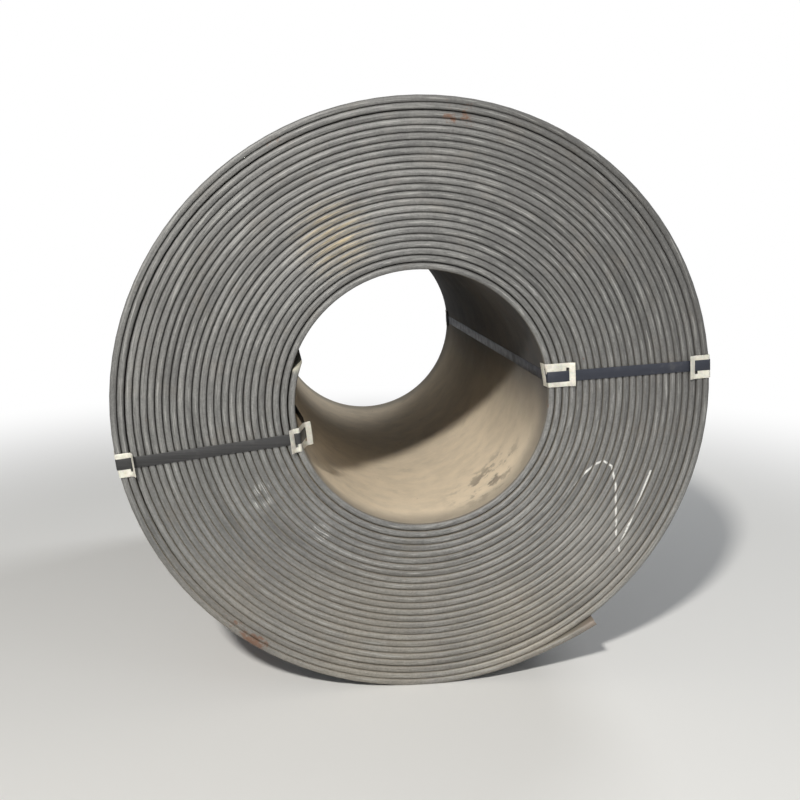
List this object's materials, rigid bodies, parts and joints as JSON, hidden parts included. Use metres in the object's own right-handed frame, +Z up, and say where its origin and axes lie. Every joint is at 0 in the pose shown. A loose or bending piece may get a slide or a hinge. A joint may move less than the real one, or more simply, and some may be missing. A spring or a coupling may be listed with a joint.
{
  "type": "steel coil",
  "caption": "Coil of thick hot-rolled carbon steel strip lying on its side, with an open bore and steel straps looped round its wall over slotted edge protectors.",
  "frame": {"origin": "on the coil's axis at the middle of the strip width, which is the centre of the bore", "axes": "+Y along the bore from the front end to the rear end, +X to the right seen from the front, +Z up from the floor it lies on"},
  "size_m": [1.7644, 1.8036, 1.7626],
  "materials": {
    "strip": "dull mill scale with dust and light rust",
    "strap": "blued and waxed",
    "seal": "dull",
    "protector": "galvanised, dull"
  },
  "bodies": {
    "root": {"coil": "strip", "strap_left": "strap", "strap_right": "strap", "seal_left": "seal", "seal_right": "seal", "protector_left_front_inner": "protector", "protector_left_front_outer": "protector", "protector_left_rear_inner": "protector", "protector_left_rear_outer": "protector", "protector_right_front_inner": "protector", "protector_right_front_outer": "protector", "protector_right_rear_inner": "protector", "protector_right_rear_outer": "protector"}
  },
  "joints": []
}
